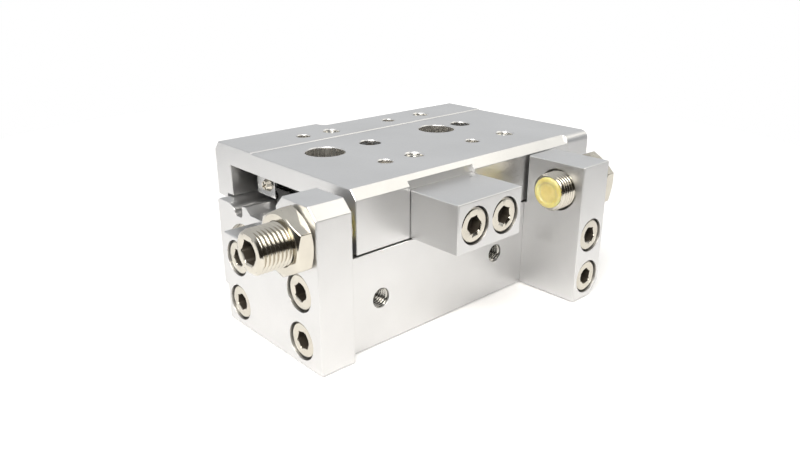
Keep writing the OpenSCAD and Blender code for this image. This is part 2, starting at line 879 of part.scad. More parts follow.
module front_adjuster_bolt() {
    color("silver")
        head_to_plus_x(front_tip_x + bumper_out, front_adj_y, front_adj_z)
            adjuster_bolt(front_adj_l);
}

module front_bumper() {
    color("khaki")
        head_to_plus_x(front_tip_x + bumper_out, front_adj_y, front_adj_z)
            bumper();
}

// Cross-section of the table in its wide rear part
function table_points() =
    let (inner_near = near_y + wall_t, inner_far = table_far - wall_t)
    [[near_y + edge_break, skirt_z], [near_y, skirt_z + edge_break], [near_y, main_z - bevel_z],
     [near_y + bevel_y, main_z], [top_step_y, main_z], [top_step_y + top_step, table_z],
     [table_far - bevel_y, table_z], [table_far, table_z - bevel_z],
     [table_far, skirt_z + edge_break], [table_far - edge_break, skirt_z],
     [far_half + skirt_gap, skirt_z], [far_half + skirt_gap, over_lip_z],
     [inner_far, over_lip_z], [inner_far, ceiling_z], [inner_near, ceiling_z],
     [inner_near, skirt_z]];

// Plan of the metal removed where the far side steps in, with its inside corner round
module jog_plan() {
    difference() {
        translate([jog_x, far_half])
            square([table_x1 - jog_x + jog_margin, table_far - far_half + jog_margin]);
        difference() {
            translate([jog_x - eps, far_half - eps])
                square(jog_r);
            translate([jog_x + jog_r, far_half + jog_r])
                circle(jog_r);
        }
    }
}

// Bevel round the mouth of a hole in the table's top
module top_mouth(x, y, d, bevel) {
    translate([x, y, (y > top_step_y ? table_z : main_z) - bevel])
        cylinder(d1 = d, d2 = d + 2 * bevel + 2 * eps, h = bevel + eps);
}

// Holes for the load: threads, dowels, access holes and the guide's screw heads
module table_top_cuts() {
    for (x = tap_xs, y = row_ys) {
        bar_z(ceiling_z - eps, table_z + eps, x, y, tap_d);
        top_mouth(x, y, tap_d, tap_bevel);
    }
    for (x = dowel_xs, y = row_ys) {
        bar_z(main_z - dowel_depth, table_z + eps, x, y, dowel_d);
        top_mouth(x, y, dowel_d, hole_bevel);
    }
    for (x = mount_xs) {
        bar_z(ceiling_z - eps, table_z + eps, x, 0, access_d);
        top_mouth(x, 0, access_d, hole_bevel);
    }
    for (x = tap_xs) {
        bar_z(ceiling_z - eps, table_z + eps, x, 0, small_clear_d);
        bar_z(guide_screw_seat_z, table_z + eps, x, 0, small_cbore_d);
        top_mouth(x, 0, small_cbore_d, hole_bevel);
    }
}

// Seats and threads on the table's sides and ends
module table_side_cuts() {
    translate([stopper_x - seat_side, near_y - over, skirt_z - over])
        cube([stopper_l + 2 * seat_side, over + seat_depth, table_z]);
    for (x = stopper_xs)
        bar_y(stopper_seat_y - eps, near_y + wall_t + eps, x, stopper_mid_z, screw_d + 2 * seat_fit);
    for (y = end_screw_ys, z = end_screw_zs)
        bar_x(table_x1 - end_screw_bite - blind_end, table_x1 + eps, y, z, small_d + 2 * seat_fit);
}

module table() {
    color("gainsboro")
        difference() {
            union() {
                along_x(table_x0, table_x1)
                    polygon(table_points());
                translate([jog_x, far_half - front_wall_t, over_lip_z])
                    cube([table_x1 - jog_x, front_wall_t, ceiling_z - over_lip_z + eps]);
            }
            translate([0, 0, skirt_z - over])
                linear_extrude(table_z)
                    jog_plan();
            table_top_cuts();
            table_side_cuts();
            break_end(table_x0, closed(table_points()));
        }
}

// Cross-section of the guide block: two legs astride the rail under a web
module guide_outline() {
    polygon([
        [-leg_y1, leg_z], [-leg_y0, leg_z], [-leg_y0, web_z], [leg_y0, web_z], [leg_y0, leg_z],
        [leg_y1, leg_z], [leg_y1, ceiling_z], [-leg_y1, ceiling_z]
    ]);
}

module guide_block() {
    color("slategray")
        difference() {
            along_x(guide_x0, guide_x1)
                guide_outline();
            track_cuts(guide_x0, guide_x1);
            for (side = [-1, 1])
                bar_x(guide_x0 - eps, guide_x1 + eps, side * return_y, track_z, ball_d + 2 * ball_gap);
            for (x = mount_xs)
                bar_z(leg_z, ceiling_z + eps, x, 0, access_d);
            for (x = tap_xs)
                bar_z(web_z - eps, ceiling_z + eps, x, 0, small_d + 2 * seat_fit);
            for (side = [-1, 1], x = [guide_x0, guide_x1])
                bar_x(x - cover_screw_bite - over, x + cover_screw_bite + over, side * cover_screw_y,
                      cover_screw_z, cover_screw_d + 2 * seat_fit);
        }
}

module guide_screws() {
    color("dimgray")
        for (x = tap_xs)
            translate([x, 0, guide_screw_seat_z])
                small_screw(guide_screw_seat_z - web_z - guide_screw_end);
}

// One row of balls on each side, at distance y from the middle plane
module ball_rows(y) {
    pitch = (guide_x1 - guide_x0 - ball_d) / (ball_n - 1);
    for (side = [-1, 1], i = [0 : ball_n - 1])
        translate([guide_x0 + ball_d / 2 + i * pitch, side * y, track_z])
            sphere(d = ball_d, $fn = 32);
}

module load_balls() {
    color("white")
        ball_rows(ball_y);
}

module return_balls() {
    color("white")
        ball_rows(return_y);
}

// Pair of end pieces, one behind each leg, between x0 and x1 and from z0 up
module leg_ends(x0, x1, z0) {
    difference() {
        for (side = [0, 1])
            mirror([0, side, 0])
                translate([x0, cap_inner_y, z0])
                    cube([x1 - x0, leg_y1 - cap_inner_y, ceiling_z - z0 - cap_top_gap]);
        for (side = [-1, 1])
            bar_x(x0 - eps, x1 + eps, side * cover_screw_y, cover_screw_z, cover_screw_d + 2 * seat_fit);
    }
}

module return_caps_rear() {
    color("#222222")
        leg_ends(guide_x0 - cap_l, guide_x0, leg_z);
}

module return_caps_front() {
    color("#222222")
        leg_ends(guide_x1, guide_x1 + cap_l, leg_z);
}

module cover_plates_rear() {
    color("lightgray")
        leg_ends(guide_x0 - cap_l - cover_t, guide_x0 - cap_l, leg_z + plate_trim);
}

module cover_plates_front() {
    color("lightgray")
        leg_ends(guide_x1 + cap_l, guide_x1 + cap_l + cover_t, leg_z + plate_trim);
}

// Small domed screw with a cross recess, head above z = 0
module cross_screw() {
    shank = cap_l + cover_t + cover_screw_bite;
    difference() {
        union() {
            cylinder(d1 = cover_head_d, d2 = cover_head_d * 0.7, h = cover_head_t);
            translate([0, 0, -shank])
                cylinder(d = cover_screw_d, h = shank + eps);
        }
        for (turn = [0, 90])
            rotate(turn)
                translate([-cross_slot_l / 2, -cross_slot_w / 2, cover_head_t * 0.4])
                    cube([cross_slot_l, cross_slot_w, cover_head_t]);
    }
}

module cover_screws() {
    color("silver")
        for (side = [-1, 1]) {
            head_to_minus_x(guide_x0 - cap_l - cover_t, side * cover_screw_y, cover_screw_z)
                rotate(30)
                    cross_screw();
            head_to_plus_x(guide_x1 + cap_l + cover_t, side * cover_screw_y, cover_screw_z)
                cross_screw();
        }
}

module stopper() {
    y0 = near_y - stopper_w;
    z1 = skirt_z + stopper_h;
    color("gainsboro")
        difference() {
            intersection() {
                along_y(y0, stopper_seat_y)
                    trimmed(stopper_x, skirt_z, stopper_x1, z1);
                along_x(stopper_x, stopper_x1)
                    trimmed(y0, skirt_z, stopper_seat_y, z1);
                translate([0, 0, skirt_z])
                    linear_extrude(stopper_h)
                        trimmed(stopper_x, y0, stopper_x1, stopper_seat_y);
            }
            for (x = stopper_xs) {
                bar_y(y0 - eps, stopper_seat_y + eps, x, stopper_mid_z, clear_d);
                bar_y(y0 - eps, y0 + head_h + head_sink, x, stopper_mid_z, cbore_d);
            }
        }
}

module stopper_screws() {
    seat_y = near_y - stopper_w + head_h + head_sink;
    color("silver")
        for (x = stopper_xs)
            head_to_minus_y(x, seat_y, stopper_mid_z)
                cap_screw(screw_d, head_d, head_h, socket_af, stopper_seat_y - seat_y + stopper_bite);
}

// Front view of the end plate, in line with the table's top and sides
function end_plate_points() =
    let (c = edge_break)
    concat(
        [[near_y, end_foot + c], [near_y + c, end_foot], [far_half - c, end_foot],
         [far_half, end_foot + c], [far_half, table_z - c], [far_half - c, table_z],
         [top_step_y + top_step, table_z], [top_step_y, main_z]],
        arc(near_y + end_r, main_z - end_r, end_r, end_r, 90, 180, 6)
    );

module end_plate() {
    color("gainsboro")
        difference() {
            along_x(table_x1, end_plate_x1)
                polygon(end_plate_points());
            break_end(end_plate_x1, closed(end_plate_points()));
            for (y = bore_ys) {
                bar_x(table_x1 - eps, rod_end_x, y, bore_z, rod_hole_d);
                bar_x(table_x1, web_x1 + eps, y, bore_z, hub_hole_d);
                bar_x(web_x1, end_plate_x1 + eps, y, bore_z, bush_hole_d);
            }
            for (y = end_screw_ys, z = end_screw_zs) {
                bar_x(table_x1 - eps, end_plate_x1 + eps, y, z, small_clear_d);
                bar_x(end_plate_x1 - small_head_h - small_sink, end_plate_x1 + eps, y, z,
                      small_cbore_d);
            }
        }
}

module end_plate_screws() {
    seat_x = end_plate_x1 - small_head_h - small_sink;
    color("silver")
        for (y = end_screw_ys, z = end_screw_zs)
            head_to_plus_x(seat_x, y, z)
                small_screw(seat_x - table_x1 + end_screw_bite);
}

module piston_rods() {
    color("lightgray")
        for (y = bore_ys)
            difference() {
                union() {
                    bar_x(piston_x1, rod_end_x, y, bore_z, rod_d);
                    bar_x(piston_x0 - piston_nut_t, piston_x1 + eps, y, bore_z, rod_spigot_d);
                }
                bar_x(rod_end_x - rod_screw_bite - blind_end, rod_end_x + eps, y, bore_z,
                      small_d + 2 * seat_fit);
            }
}

module pistons() {
    color("burlywood")
        for (y = bore_ys)
            difference() {
                bar_x(piston_x0, piston_x1, y, bore_z, bore_d - 2 * run_fit);
                bar_x(piston_x0 - eps, piston_x1 + eps, y, bore_z, rod_spigot_d + 2 * seat_fit);
                ring_x(seal_x, seal_x + seal_w, y, bore_z, bore_d + over, groove_floor_d);
                ring_x(magnet_x, magnet_x + magnet_w, y, bore_z, bore_d + over, groove_floor_d);
            }
}

module piston_seals() {
    color("black")
        for (y = bore_ys)
            ring_x(seal_x + seat_fit, seal_x + seal_w - seat_fit, y, bore_z,
                   bore_d - 2 * seat_fit, groove_floor_d + 2 * seat_fit);
}

module piston_magnets() {
    color("dimgray")
        for (y = bore_ys)
            ring_x(magnet_x + seat_fit, magnet_x + magnet_w - seat_fit, y, bore_z,
                   magnet_d, groove_floor_d + 2 * seat_fit);
}

module piston_nuts() {
    color("gray")
        for (y = bore_ys)
            translate([piston_x0 - piston_nut_t, y, bore_z])
                rotate([0, 90, 0])
                    difference() {
                        hex_z(0, piston_nut_t, piston_nut_af);
                        translate([0, 0, -eps])
                            cylinder(d = rod_spigot_d + 2 * seat_fit, h = piston_nut_t + 2 * eps);
                    }
}

// Flanged bushes: the hub reaches the rod's end through the plate's web, the flange is in front of it
module floating_bushes() {
    flange_x0 = web_x1 + float_gap;
    color("silver")
        for (y = bore_ys)
            difference() {
                union() {
                    bar_x(rod_end_x, flange_x0 + eps, y, bore_z, hub_d);
                    bar_x(flange_x0, flange_x0 + bush_t, y, bore_z, bush_d);
                }
                bar_x(rod_end_x - eps, flange_x0 + bush_t + eps, y, bore_z, small_d + 2 * seat_fit);
            }
}

module rod_end_screws() {
    seat_x = web_x1 + float_gap + bush_t;
    color("silver")
        for (y = bore_ys)
            head_to_plus_x(seat_x, y, bore_z)
                small_screw(seat_x - rod_end_x + rod_screw_bite);
}

cylinder_body();
guide_rail();
rail_screws();
head_caps();
head_cap_orings();
head_cap_rings();
rod_covers();
rod_cover_orings();
rod_seals();
rod_cover_rings();
rod_bumpers();
rear_stop_block();
rear_block_screws();
rear_lock_nut();
rear_adjuster_bolt();
rear_bumper();
front_stop_block();
front_block_screws();
front_lock_nut();
front_adjuster_bolt();
front_bumper();
table();
guide_block();
guide_screws();
load_balls();
return_balls();
return_caps_rear();
return_caps_front();
cover_plates_rear();
cover_plates_front();
cover_screws();
stopper();
stopper_screws();
end_plate();
end_plate_screws();
piston_rods();
pistons();
piston_seals();
piston_magnets();
piston_nuts();
floating_bushes();
rod_end_screws();
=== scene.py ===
import json
import math

import bmesh
import bpy
from mathutils import Matrix, Vector


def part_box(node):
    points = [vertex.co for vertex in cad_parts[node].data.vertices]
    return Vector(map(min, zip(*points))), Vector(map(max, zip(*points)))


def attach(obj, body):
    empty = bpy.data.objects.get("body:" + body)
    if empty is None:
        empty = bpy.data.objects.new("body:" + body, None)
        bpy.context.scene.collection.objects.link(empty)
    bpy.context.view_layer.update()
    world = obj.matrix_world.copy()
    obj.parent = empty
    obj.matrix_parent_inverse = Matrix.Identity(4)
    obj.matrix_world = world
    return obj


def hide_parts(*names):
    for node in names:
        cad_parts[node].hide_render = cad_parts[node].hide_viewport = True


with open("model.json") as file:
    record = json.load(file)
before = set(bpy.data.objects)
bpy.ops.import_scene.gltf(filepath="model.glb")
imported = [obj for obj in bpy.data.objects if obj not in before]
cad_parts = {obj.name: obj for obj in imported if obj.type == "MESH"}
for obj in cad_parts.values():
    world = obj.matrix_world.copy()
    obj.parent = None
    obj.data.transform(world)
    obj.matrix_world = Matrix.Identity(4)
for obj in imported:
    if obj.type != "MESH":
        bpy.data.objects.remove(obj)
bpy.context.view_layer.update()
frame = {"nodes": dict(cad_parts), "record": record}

# Looks of a pneumatic slide table: satin anodised aluminium, nickel screws and threads, urethane bumpers.
# Metres; X is the stroke, the adjusters are on the -Y side, Z is up.

MM = 0.001
TURN = 2 * math.pi
SIDES = 96  # points round a turned piece; a multiple of six, so hexagons keep sharp corners
SLEEVE_SIDES = 72  # points round the smaller threads
WELD = 0.0005 * MM  # points of one piece that lie closer than this are one point

M3 = (3 * MM, 2.5 * MM)  # thread and hex socket of a cap screw
M5 = (5 * MM, 4 * MM)
M5_PITCH = 0.8 * MM
M10_FINE_PITCH = 1.0 * MM
OUTER_THREAD_DEPTH = 0.61  # depths of metric threads, in pitches
INNER_THREAD_DEPTH = 0.54

EDGE = 0.08 * MM  # roundings of the machined pieces' edges
RAIL_EDGE = 0.06 * MM
NUT_EDGE = 0.12 * MM

NODES = frame["nodes"]
RECORD = frame["record"]
BODY_OF = {node: body for body, nodes in RECORD["behaviour"]["bodies"].items() for node in nodes}
SLOT_OF = {part["node"]: part["material_slot"] for part in RECORD["subparts"]}
MOUNTS = {mount["name"]: mount for mount in RECORD["mounts"]}


# ---------------------------------------------------------------- shader nodes

NOISE_LOW, NOISE_HIGH = 0.3, 0.7  # most of a noise factor lies between these


def plug(tree, node, inputs):
    """Fills a shader node's inputs, each with a plain value or with another node's output."""
    for key, value in inputs.items():
        if isinstance(value, bpy.types.NodeSocket):
            tree.links.new(value, node.inputs[key])
        else:
            node.inputs[key].default_value = value


def shader_node(tree, kind, inputs=None, **settings):
    """New shader node with its settings and inputs."""
    node = tree.nodes.new("ShaderNode" + kind)
    for key, value in settings.items():
        setattr(node, key, value)
    plug(tree, node, inputs or {})
    return node


def noise(tree, coords, scale, detail=3.0, stretch=(1, 1, 1)):
    """Noise factor over the object's own coordinates, in features per metre."""
    mapping = shader_node(tree, "Mapping", {"Scale": stretch, "Vector": coords.outputs["Object"]})
    texture = shader_node(tree, "TexNoise", {
        "Scale": scale, "Detail": detail, "Vector": mapping.outputs["Vector"]})
    return texture.outputs["Fac"]


def spread(tree, factor, low, high, start=NOISE_LOW, end=NOISE_HIGH):
    """Maps a factor that runs from start to end onto the range from low to high."""
    node = shader_node(tree, "MapRange", {
        "Value": factor, "From Min": start, "From Max": end, "To Min": low, "To Max": high})
    return node.outputs["Result"]


def color_ramp(tree, factor, stops):
    """Colour that follows a factor through (position, colour) stops."""
    node = shader_node(tree, "ValToRGB", {"Fac": factor})
    elements = node.color_ramp.elements
    while len(elements) < len(stops):
        elements.new(0.5)
    for element, (position, color) in zip(elements, stops):
        element.position = position
        element.color = (*color, 1)
    return node.outputs["Color"]


# ---------------------------------------------------------------- materials

# Colours drift between dark and light over features of the size set by blotch (per metre), roughness
# varies within rough along the finer grain, and edge is the radius of the shaded rounding of edges.
FINISHES = {
    "anodised_aluminium": dict(
        dark=(0.62, 0.62, 0.62), light=(0.68, 0.68, 0.68), rough=(0.32, 0.42), metallic=1.0,
        blotch=45, grain=3000, bump=0.25, depth=0.01 * MM),
    "inner_alloy": dict(
        dark=(0.62, 0.60, 0.54), light=(0.70, 0.68, 0.62), rough=(0.28, 0.40), metallic=1.0,
        stretch=(6, 1, 1), edge=0.1 * MM),
    "guide_steel": dict(
        dark=(0.50, 0.50, 0.50), light=(0.60, 0.60, 0.60), rough=(0.18, 0.30), metallic=1.0,
        stretch=(0.05, 1, 1), edge=0.12 * MM),
    "black_steel": dict(
        dark=(0.03, 0.03, 0.03), light=(0.06, 0.06, 0.06), rough=(0.35, 0.5), metallic=1.0, edge=0.1 * MM),
    "nickel_steel": dict(
        dark=(0.52, 0.49, 0.43), light=(0.59, 0.56, 0.49), rough=(0.10, 0.18), metallic=1.0,
        blotch=250, grain=3500, bump=0.15, depth=0.006 * MM),
    "hard_chrome": dict(
        dark=(0.74, 0.75, 0.76), light=(0.80, 0.81, 0.82), rough=(0.05, 0.10), metallic=1.0,
        stretch=(0.1, 1, 1), bump=0.05),
    "urethane": dict(
        dark=(0.60, 0.48, 0.18), light=(0.72, 0.60, 0.25), rough=(0.28, 0.38),
        blotch=400, grain=1500, bump=0.05),
    "nitrile": dict(
        dark=(0.012, 0.012, 0.012), light=(0.022, 0.022, 0.022), rough=(0.45, 0.6)),
    "black_resin": dict(
        dark=(0.012, 0.012, 0.012), light=(0.025, 0.025, 0.025), rough=(0.4, 0.55), edge=0.1 * MM),
    "magnet": dict(
        dark=(0.05, 0.045, 0.04), light=(0.08, 0.075, 0.07), rough=(0.45, 0.6), metallic=0.3),
    # Bare metal of a tapped hole, sharper than the anodised faces
    "cut_thread": dict(
        dark=(0.40, 0.39, 0.36), light=(0.48, 0.47, 0.44), rough=(0.10, 0.20), metallic=1.0, blotch=300),
    # Painted light: the walls of the table's through holes are brighter than the anodised faces, standing in
    # for the light that falls into them; smoothed along the hole
    "bore_painted_light": dict(
        dark=(0.84, 0.82, 0.78), light=(0.92, 0.90, 0.86), rough=(0.22, 0.34), metallic=1.0,
        blotch=300, bump=0.03, stretch=(1, 1, 0.1)),
    # Painted shade, partly real: forged sockets keep a dull brown bottom under the plating, and this finish
    # is made darker still to stand in for the shade deep in the socket
    "socket_oxide_and_painted_shade": dict(
        dark=(0.035, 0.028, 0.020), light=(0.070, 0.058, 0.043), rough=(0.45, 0.6), metallic=0.3,
        blotch=400),
}


def finish_material(name, dark, light, rough, metallic=0.0, blotch=60.0, grain=2500.0, bump=0.1,
                    depth=0.02 * MM, stretch=(1, 1, 1), edge=0.0):
    """Principled surface whose colour drifts slowly and whose roughness and bump follow a fine grain."""
    material = bpy.data.materials.new(name)
    material.use_nodes = True
    tree = material.node_tree
    coords = shader_node(tree, "TexCoord")
    drift = noise(tree, coords, blotch)
    fine = noise(tree, coords, grain, detail=2.0, stretch=stretch)
    bumps = shader_node(tree, "Bump", {"Strength": bump, "Distance": depth, "Height": fine})
    if edge:
        rounded = shader_node(tree, "Bevel", {"Radius": edge}, samples=4)
        plug(tree, bumps, {"Normal": rounded.outputs["Normal"]})
    plug(tree, tree.nodes["Principled BSDF"], {
        "Metallic": metallic,
        "Base Color": color_ramp(tree, drift, ((NOISE_LOW, dark), (NOISE_HIGH, light))),
        "Roughness": spread(tree, fine, *rough),
        "Normal": bumps.outputs["Normal"]})
    return material


def make_translucent(material):
    """Urethane look: light scatters a few millimetres into the piece, under a faint gloss."""
    tree = material.node_tree
    plug(tree, tree.nodes["Principled BSDF"], {
        "Subsurface Weight": 0.8,
        "Subsurface Radius": (1.0, 0.75, 0.25),
        "Subsurface Scale": 2.5 * MM,
        "Coat Weight": 0.25,
        "Coat Roughness": 0.12})


# ---------------------------------------------------------------- mesh helpers

SECOND_FINISH = 1  # material index of a piece's second finish


def link(obj):
    """Adds an object to the scene."""
    bpy.context.scene.collection.objects.link(obj)
    return obj


def dress(obj, node, finishes=()):
    """Gives a new piece the body, slot and finish of the CAD node that it belongs to."""
    for name in finishes or (SLOT_OF[node],):
        obj.data.materials.append(materials[name])
    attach(obj, BODY_OF[node])


def from_bmesh(name, bm, smooth_angle=35):
    """Object from a bmesh, smooth except across edges sharper than the angle in degrees."""
    bmesh.ops.recalc_face_normals(bm, faces=bm.faces)
    mesh = bpy.data.meshes.new(name)
    bm.to_mesh(mesh)
    bm.free()
    mesh.shade_smooth()
    mesh.set_sharp_from_angle(angle=math.radians(smooth_angle))
    return link(bpy.data.objects.new(name, mesh))


def cad_mesh(node, weld):
    """Welded bmesh of a CAD node."""
    bm = bmesh.new()
    bm.from_mesh(NODES[node].data)
    bmesh.ops.remove_doubles(bm, verts=bm.verts, dist=weld)
    return bm


def islands(node):
    """Boxes of the separate solids in a CAD node, as (lowest, highest) corners."""
    bm = cad_mesh(node, 0.0001 * MM)
    seen, boxes = set(), []
    for start in bm.verts:
        if start in seen:
            continue
        stack, low, high = [start], start.co.copy(), start.co.copy()
        seen.add(start)
        while stack:
            vert = stack.pop()
            low = Vector(map(min, low, vert.co))
            high = Vector(map(max, high, vert.co))
            for edge in vert.link_edges:
                other = edge.other_vert(vert)
                if other not in seen:
                    seen.add(other)
                    stack.append(other)
        boxes.append((low, high))
    bm.free()
    return boxes


def mark_bores(obj, margin=2 * MM, facet=1.3 * MM, tilt=0.05):
    """Gives the second finish to the walls of upright bores: narrow upright faces inside the outline."""
    points = [vert.co for vert in obj.data.vertices]
    low = [min(point[k] for point in points) + margin for k in (0, 1)]
    high = [max(point[k] for point in points) - margin for k in (0, 1)]
    for face in obj.data.polygons:
        corners = [points[i] for i in face.vertices]
        inside = all(low[k] < face.center[k] < high[k] for k in (0, 1))
        width = max(max(corner[k] for corner in corners) - min(corner[k] for corner in corners)
                    for k in (0, 1))
        if inside and abs(face.normal.z) < tilt and width < facet:
            face.material_index = SECOND_FINISH


def mark_ends(obj, facing=0.9):
    """Gives the second finish to the faces that look along the stroke."""
    for face in obj.data.polygons:
        if abs(face.normal.x) > facing:
            face.material_index = SECOND_FINISH


def bevelled(node, width, angle=28, mark=None, second=None):
    """A copy of a CAD node with its hard edges rounded a little, which stands for the node.

    Edges sharper than the angle in degrees are rounded. The mark function picks the faces that take
    the second finish.
    """
    flat_enough = math.radians(0.4)
    bm = cad_mesh(node, 0.001 * MM)
    bmesh.ops.dissolve_limit(bm, angle_limit=flat_enough, verts=bm.verts, edges=bm.edges)
    obj = from_bmesh(node + "_machined", bm, angle)
    if mark:
        mark(obj)
    rounding = obj.modifiers.new("edge_break", "BEVEL")
    rounding.width = width
    rounding.segments = 2
    rounding.limit_method = "ANGLE"
    rounding.angle_limit = math.radians(angle)
    rounding.use_clamp_overlap = False
    rounding.miter_outer = "MITER_ARC"
    # Keeps the flats flat where they run into a rounding
    weighted = obj.modifiers.new("flat_faces", "WEIGHTED_NORMAL")
    weighted.mode = "FACE_AREA"
    weighted.weight = 100
    weighted.keep_sharp = True
    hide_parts(node)
    dress(obj, node, (SLOT_OF[node], second) if second else ())


def skin(bm, place, rings, shaded=math.inf, closed=(True, True)):
    """Quads between placed rings of equal counts, with discs that close the first and the last ring.

    From ring number `shaded` on, the faces take the second finish.
    """
    rows = [[bm.verts.new(place @ point) for point in points] for points in rings]
    count = len(rows[0])
    for k, (low, high) in enumerate(zip(rows, rows[1:])):
        for i in range(count):
            j = (i + 1) % count
            face = bm.faces.new((low[i], low[j], high[j], high[i]))
            face.material_index = SECOND_FINISH if k >= shaded else 0
    if closed[0]:
        bm.faces.new(rows[0][::-1])
    if closed[1]:
        last = bm.faces.new(rows[-1])
        last.material_index = SECOND_FINISH if len(rows) > shaded else 0


def ring(height, radius, sides=SIDES):
    """Points round the Z axis; radius is a number or a function of the angle."""
    points = []
    for i in range(sides):
        angle = TURN * i / sides
        reach = radius(angle) if callable(radius) else radius
        points.append(Vector((reach * math.cos(angle), reach * math.sin(angle), height)))
    return points


def hexagon(across_flats):
    """Radius of a hexagon at an angle."""
    sector = math.radians(60)
    return lambda angle: across_flats / 2 / math.cos(angle % sector - sector / 2)


def rounded_rim(height, radius, size, steps=4, up=1):
    """Rings of a quarter-round rim, from the side to the end face, which looks up or, with -1, down."""
    turns = [math.pi / 2 * i / steps for i in range(steps + 1)]
    return [ring(height - up * size + up * size * math.sin(t), radius - size + size * math.cos(t))
            for t in turns]


def hex_socket(top, across, depth, lead_in, cone):
    """Rings of a hex socket, from its round mouth down to its drill point; the flats start at the second."""
    flats = hexagon(across)
    floor = top - depth
    mouth_r, drill_r, tip_r, step = across * 1.17 / 2, across * 0.46, across * 0.03, across * 0.02
    return [ring(top, mouth_r), ring(top - lead_in, flats), ring(floor, flats),
            ring(floor - step, drill_r), ring(floor - cone, tip_r)]


def axis_matrix(seat, towards):
    """Places local Z along a direction, with the local origin at the seat."""
    return Matrix.Translation(seat) @ Vector(towards).to_track_quat("Z", "Y").to_matrix().to_4x4()


def turned_piece(node, towards):
    """Length, radius and place of a CAD node that is turned round an axis along X."""
    low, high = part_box(node)
    foot = (low + high) / 2
    foot.x = low.x if towards > 0 else high.x
    return high.x - low.x, (high.y - low.y) / 2, axis_matrix(foot, (towards, 0, 0))


# ---------------------------------------------------------------- screws

def cap_screw(bm, place, thread, head_d, head_h, socket, shank):
    """Socket head cap screw, seated at local z = 0, with a rounded rim and a hex socket."""
    rim = head_d * 0.06
    end_chamfer, end_r = thread * 0.08, thread * 0.42
    outside = [ring(-shank, end_r), ring(-shank + end_chamfer, thread / 2), ring(0, thread / 2),
               ring(0, head_d / 2 - rim / 2), ring(rim / 2, head_d / 2)]
    outside += rounded_rim(head_h, head_d / 2, rim)
    inside = hex_socket(head_h, socket, depth=head_h / 2, lead_in=head_d * 0.02, cone=socket * 0.2)
    skin(bm, place, outside + inside, shaded=len(outside) + 1)


def cap_screws(node, towards, size, turns):
    """Detailed screws in place of a CAD node of cap screws whose heads look one way.

    The turns are the sockets' angles in degrees, screw by screw.
    """
    thread, socket = size
    head_h = thread
    axis = [abs(v) > 0.5 for v in towards].index(True)
    across = (axis + 1) % 3
    sign = towards[axis]
    bm = bmesh.new()
    for i, (low, high) in enumerate(islands(node)):
        top = high[axis] if sign > 0 else low[axis]
        seat = (low + high) / 2
        seat[axis] = top - sign * head_h
        spin = Matrix.Rotation(math.radians(turns[i % len(turns)]), 4, "Z")
        cap_screw(bm, axis_matrix(seat, towards) @ spin, thread, high[across] - low[across], head_h,
                  socket, high[axis] - low[axis] - head_h)
    obj = from_bmesh(node + "_detail", bm)
    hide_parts(node)
    # The sockets' inner faces take the finish with painted shade in it
    dress(obj, node, (SLOT_OF[node], "socket_oxide_and_painted_shade"))


# ---------------------------------------------------------------- threads

def rolled_thread(crest, root):
    """Profile of one turn of a rolled thread: steep flanks between a worn crest and a rounded root.

    It lists (share of the pitch, radius). A lip is the small height in which the falls from the crest
    and the rises from the root are given.
    """
    lip = (crest - root) * 0.12
    step, root_at = 0.08, 0.62
    crest_at = step
    crest_fall, flank_fall, root_rise = 0.3, 1.5, (0.0, 0.2, 1.2)
    flank_start, flank_end = 0.22, 0.96
    worn = [(crest_at + k * step, crest - abs(k) * crest_fall * lip) for k in (-1, 0, 1)]
    rounded = [(root_at + k * step, root + root_rise[abs(k)] * lip) for k in (-2, -1, 0, 1, 2)]
    shoulder = crest - flank_fall * lip
    return worn + [(flank_start, shoulder)] + rounded + [(flank_end, shoulder)]


def helix_wall(bm, place, start, end, pitch, profile, trim, sides=SIDES):
    """Helical wall between two heights of the local Z axis.

    The profile lists (share of the pitch, radius) along one turn's groove; trim changes a radius at a height.
    """
    per_turn = len(profile)
    last = math.ceil((end - start) / pitch + 1) * per_turn
    rows = []
    for k in range(last + 1):
        share, radius = profile[k % per_turn]
        foot = start + (k // per_turn - 1 + share) * pitch
        row = []
        for i in range(sides):
            z = min(max(foot + pitch * i / sides, start), end)
            angle = TURN * i / sides
            reach = trim(radius, z)
            row.append(bm.verts.new(place @ Vector((reach * math.cos(angle), reach * math.sin(angle), z))))
        rows.append(row)
    for k in range(last):
        for i in range(sides):
            if i + 1 < sides:
                corners = (rows[k][i], rows[k][i + 1], rows[k + 1][i + 1], rows[k + 1][i])
            else:
                # The seam joins the start of the next turn
                corners = (rows[k][i], rows[min(k + per_turn, last)][0],
                           rows[min(k + 1 + per_turn, last)][0], rows[k + 1][i])
            if len(set(corners)) == 4:
                bm.faces.new(corners)
    bmesh.ops.remove_doubles(bm, verts=bm.verts, dist=WELD)
    bmesh.ops.dissolve_degenerate(bm, edges=bm.edges, dist=WELD)


def adjuster_bolt(node, towards):
    """Threaded adjuster bolt with a hex socket in its outer end and a hole for the bumper's stem."""
    length, crest, place = turned_piece(node, towards)
    root = crest - OUTER_THREAD_DEPTH * M10_FINE_PITCH
    face_r = root - 0.05 * MM
    inner_chamfer, outer_chamfer = 0.35 * MM, 0.5 * MM
    stem_r, stem_depth = 2.55 * MM, 4.3 * MM
    tip_r = stem_r * 0.02

    def chamfered(radius, z):
        return min(radius, face_r + min(z / inner_chamfer, (length - z) / outer_chamfer) * (crest - face_r))

    inner_end = [ring(stem_depth, tip_r), ring(stem_depth, stem_r), ring(0, stem_r), ring(0, face_r)]
    outer_end = [ring(length, face_r)]
    outer_end += hex_socket(length, across=5 * MM, depth=5 * MM, lead_in=0.2 * MM, cone=0.9 * MM)
    bm = bmesh.new()
    helix_wall(bm, place, 0, length, M10_FINE_PITCH, rolled_thread(crest, root), chamfered)
    skin(bm, place, inner_end, closed=(True, False))
    skin(bm, place, outer_end, shaded=2, closed=(False, True))
    bmesh.ops.remove_doubles(bm, verts=bm.verts, dist=WELD)
    obj = from_bmesh(node + "_threaded", bm, 45)
    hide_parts(node)
    # The socket's inner faces take the finish with painted shade in it
    dress(obj, node, (SLOT_OF[node], "socket_oxide_and_painted_shade"))


